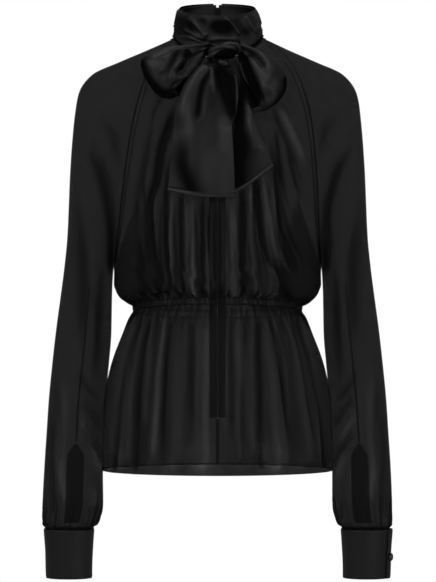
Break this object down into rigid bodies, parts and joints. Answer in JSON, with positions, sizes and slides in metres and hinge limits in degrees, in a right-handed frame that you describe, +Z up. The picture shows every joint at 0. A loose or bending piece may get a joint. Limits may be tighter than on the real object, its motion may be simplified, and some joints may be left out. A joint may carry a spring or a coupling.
{
  "type": "blouse",
  "caption": "Sheer long-sleeved blouse with a high draped neck, a tied bow, a gathered elastic waist, a peplum and buttoned cuffs, filled out as if worn.",
  "frame": {"origin": "middle of the neck's base, where the wearer's neck and shoulders hold the garment", "axes": "+X to the right seen from the front, +Y towards the back, +Z up"},
  "size_m": [0.4974, 0.2605, 0.826],
  "materials": {
    "georgette": "sheer crinkled georgette, matte",
    "satin": "smooth satin with a soft sheen",
    "button": "polished resin",
    "zip_tape": "woven tape, matte",
    "zip_metal": "black lacquered metal"
  },
  "bodies": {
    "garment": {"front_bodice": "georgette", "back_bodice_left": "georgette", "back_bodice_right": "georgette", "sleeve_left": "georgette", "sleeve_right": "georgette", "sleeve_placket_left": "georgette", "sleeve_placket_right": "georgette", "waist_casing": "georgette", "peplum_front": "georgette", "peplum_back_left": "georgette", "peplum_back_right": "georgette", "neck_band": "satin", "neck_drape": "satin", "bow_loop_left": "satin", "bow_loop_right": "satin", "bow_knot": "satin", "bow_tail_front": "satin", "bow_tail_back": "satin", "cuff_left": "satin", "cuff_right": "satin", "cuff_button_left": "button", "cuff_button_right": "button", "zip_tape_left": "zip_tape", "zip_tape_right": "zip_tape", "zip_slider": "zip_metal"},
    "zip_pull": {"zip_pull": "zip_metal"}
  },
  "joints": [
    {"name": "pull_swing", "type": "hinge", "parent": "garment", "child": "zip_pull", "pos_m": [0, 0.04548, 0.04975], "axis": [1, 0, 0], "range_deg": [0, 150]}
  ]
}
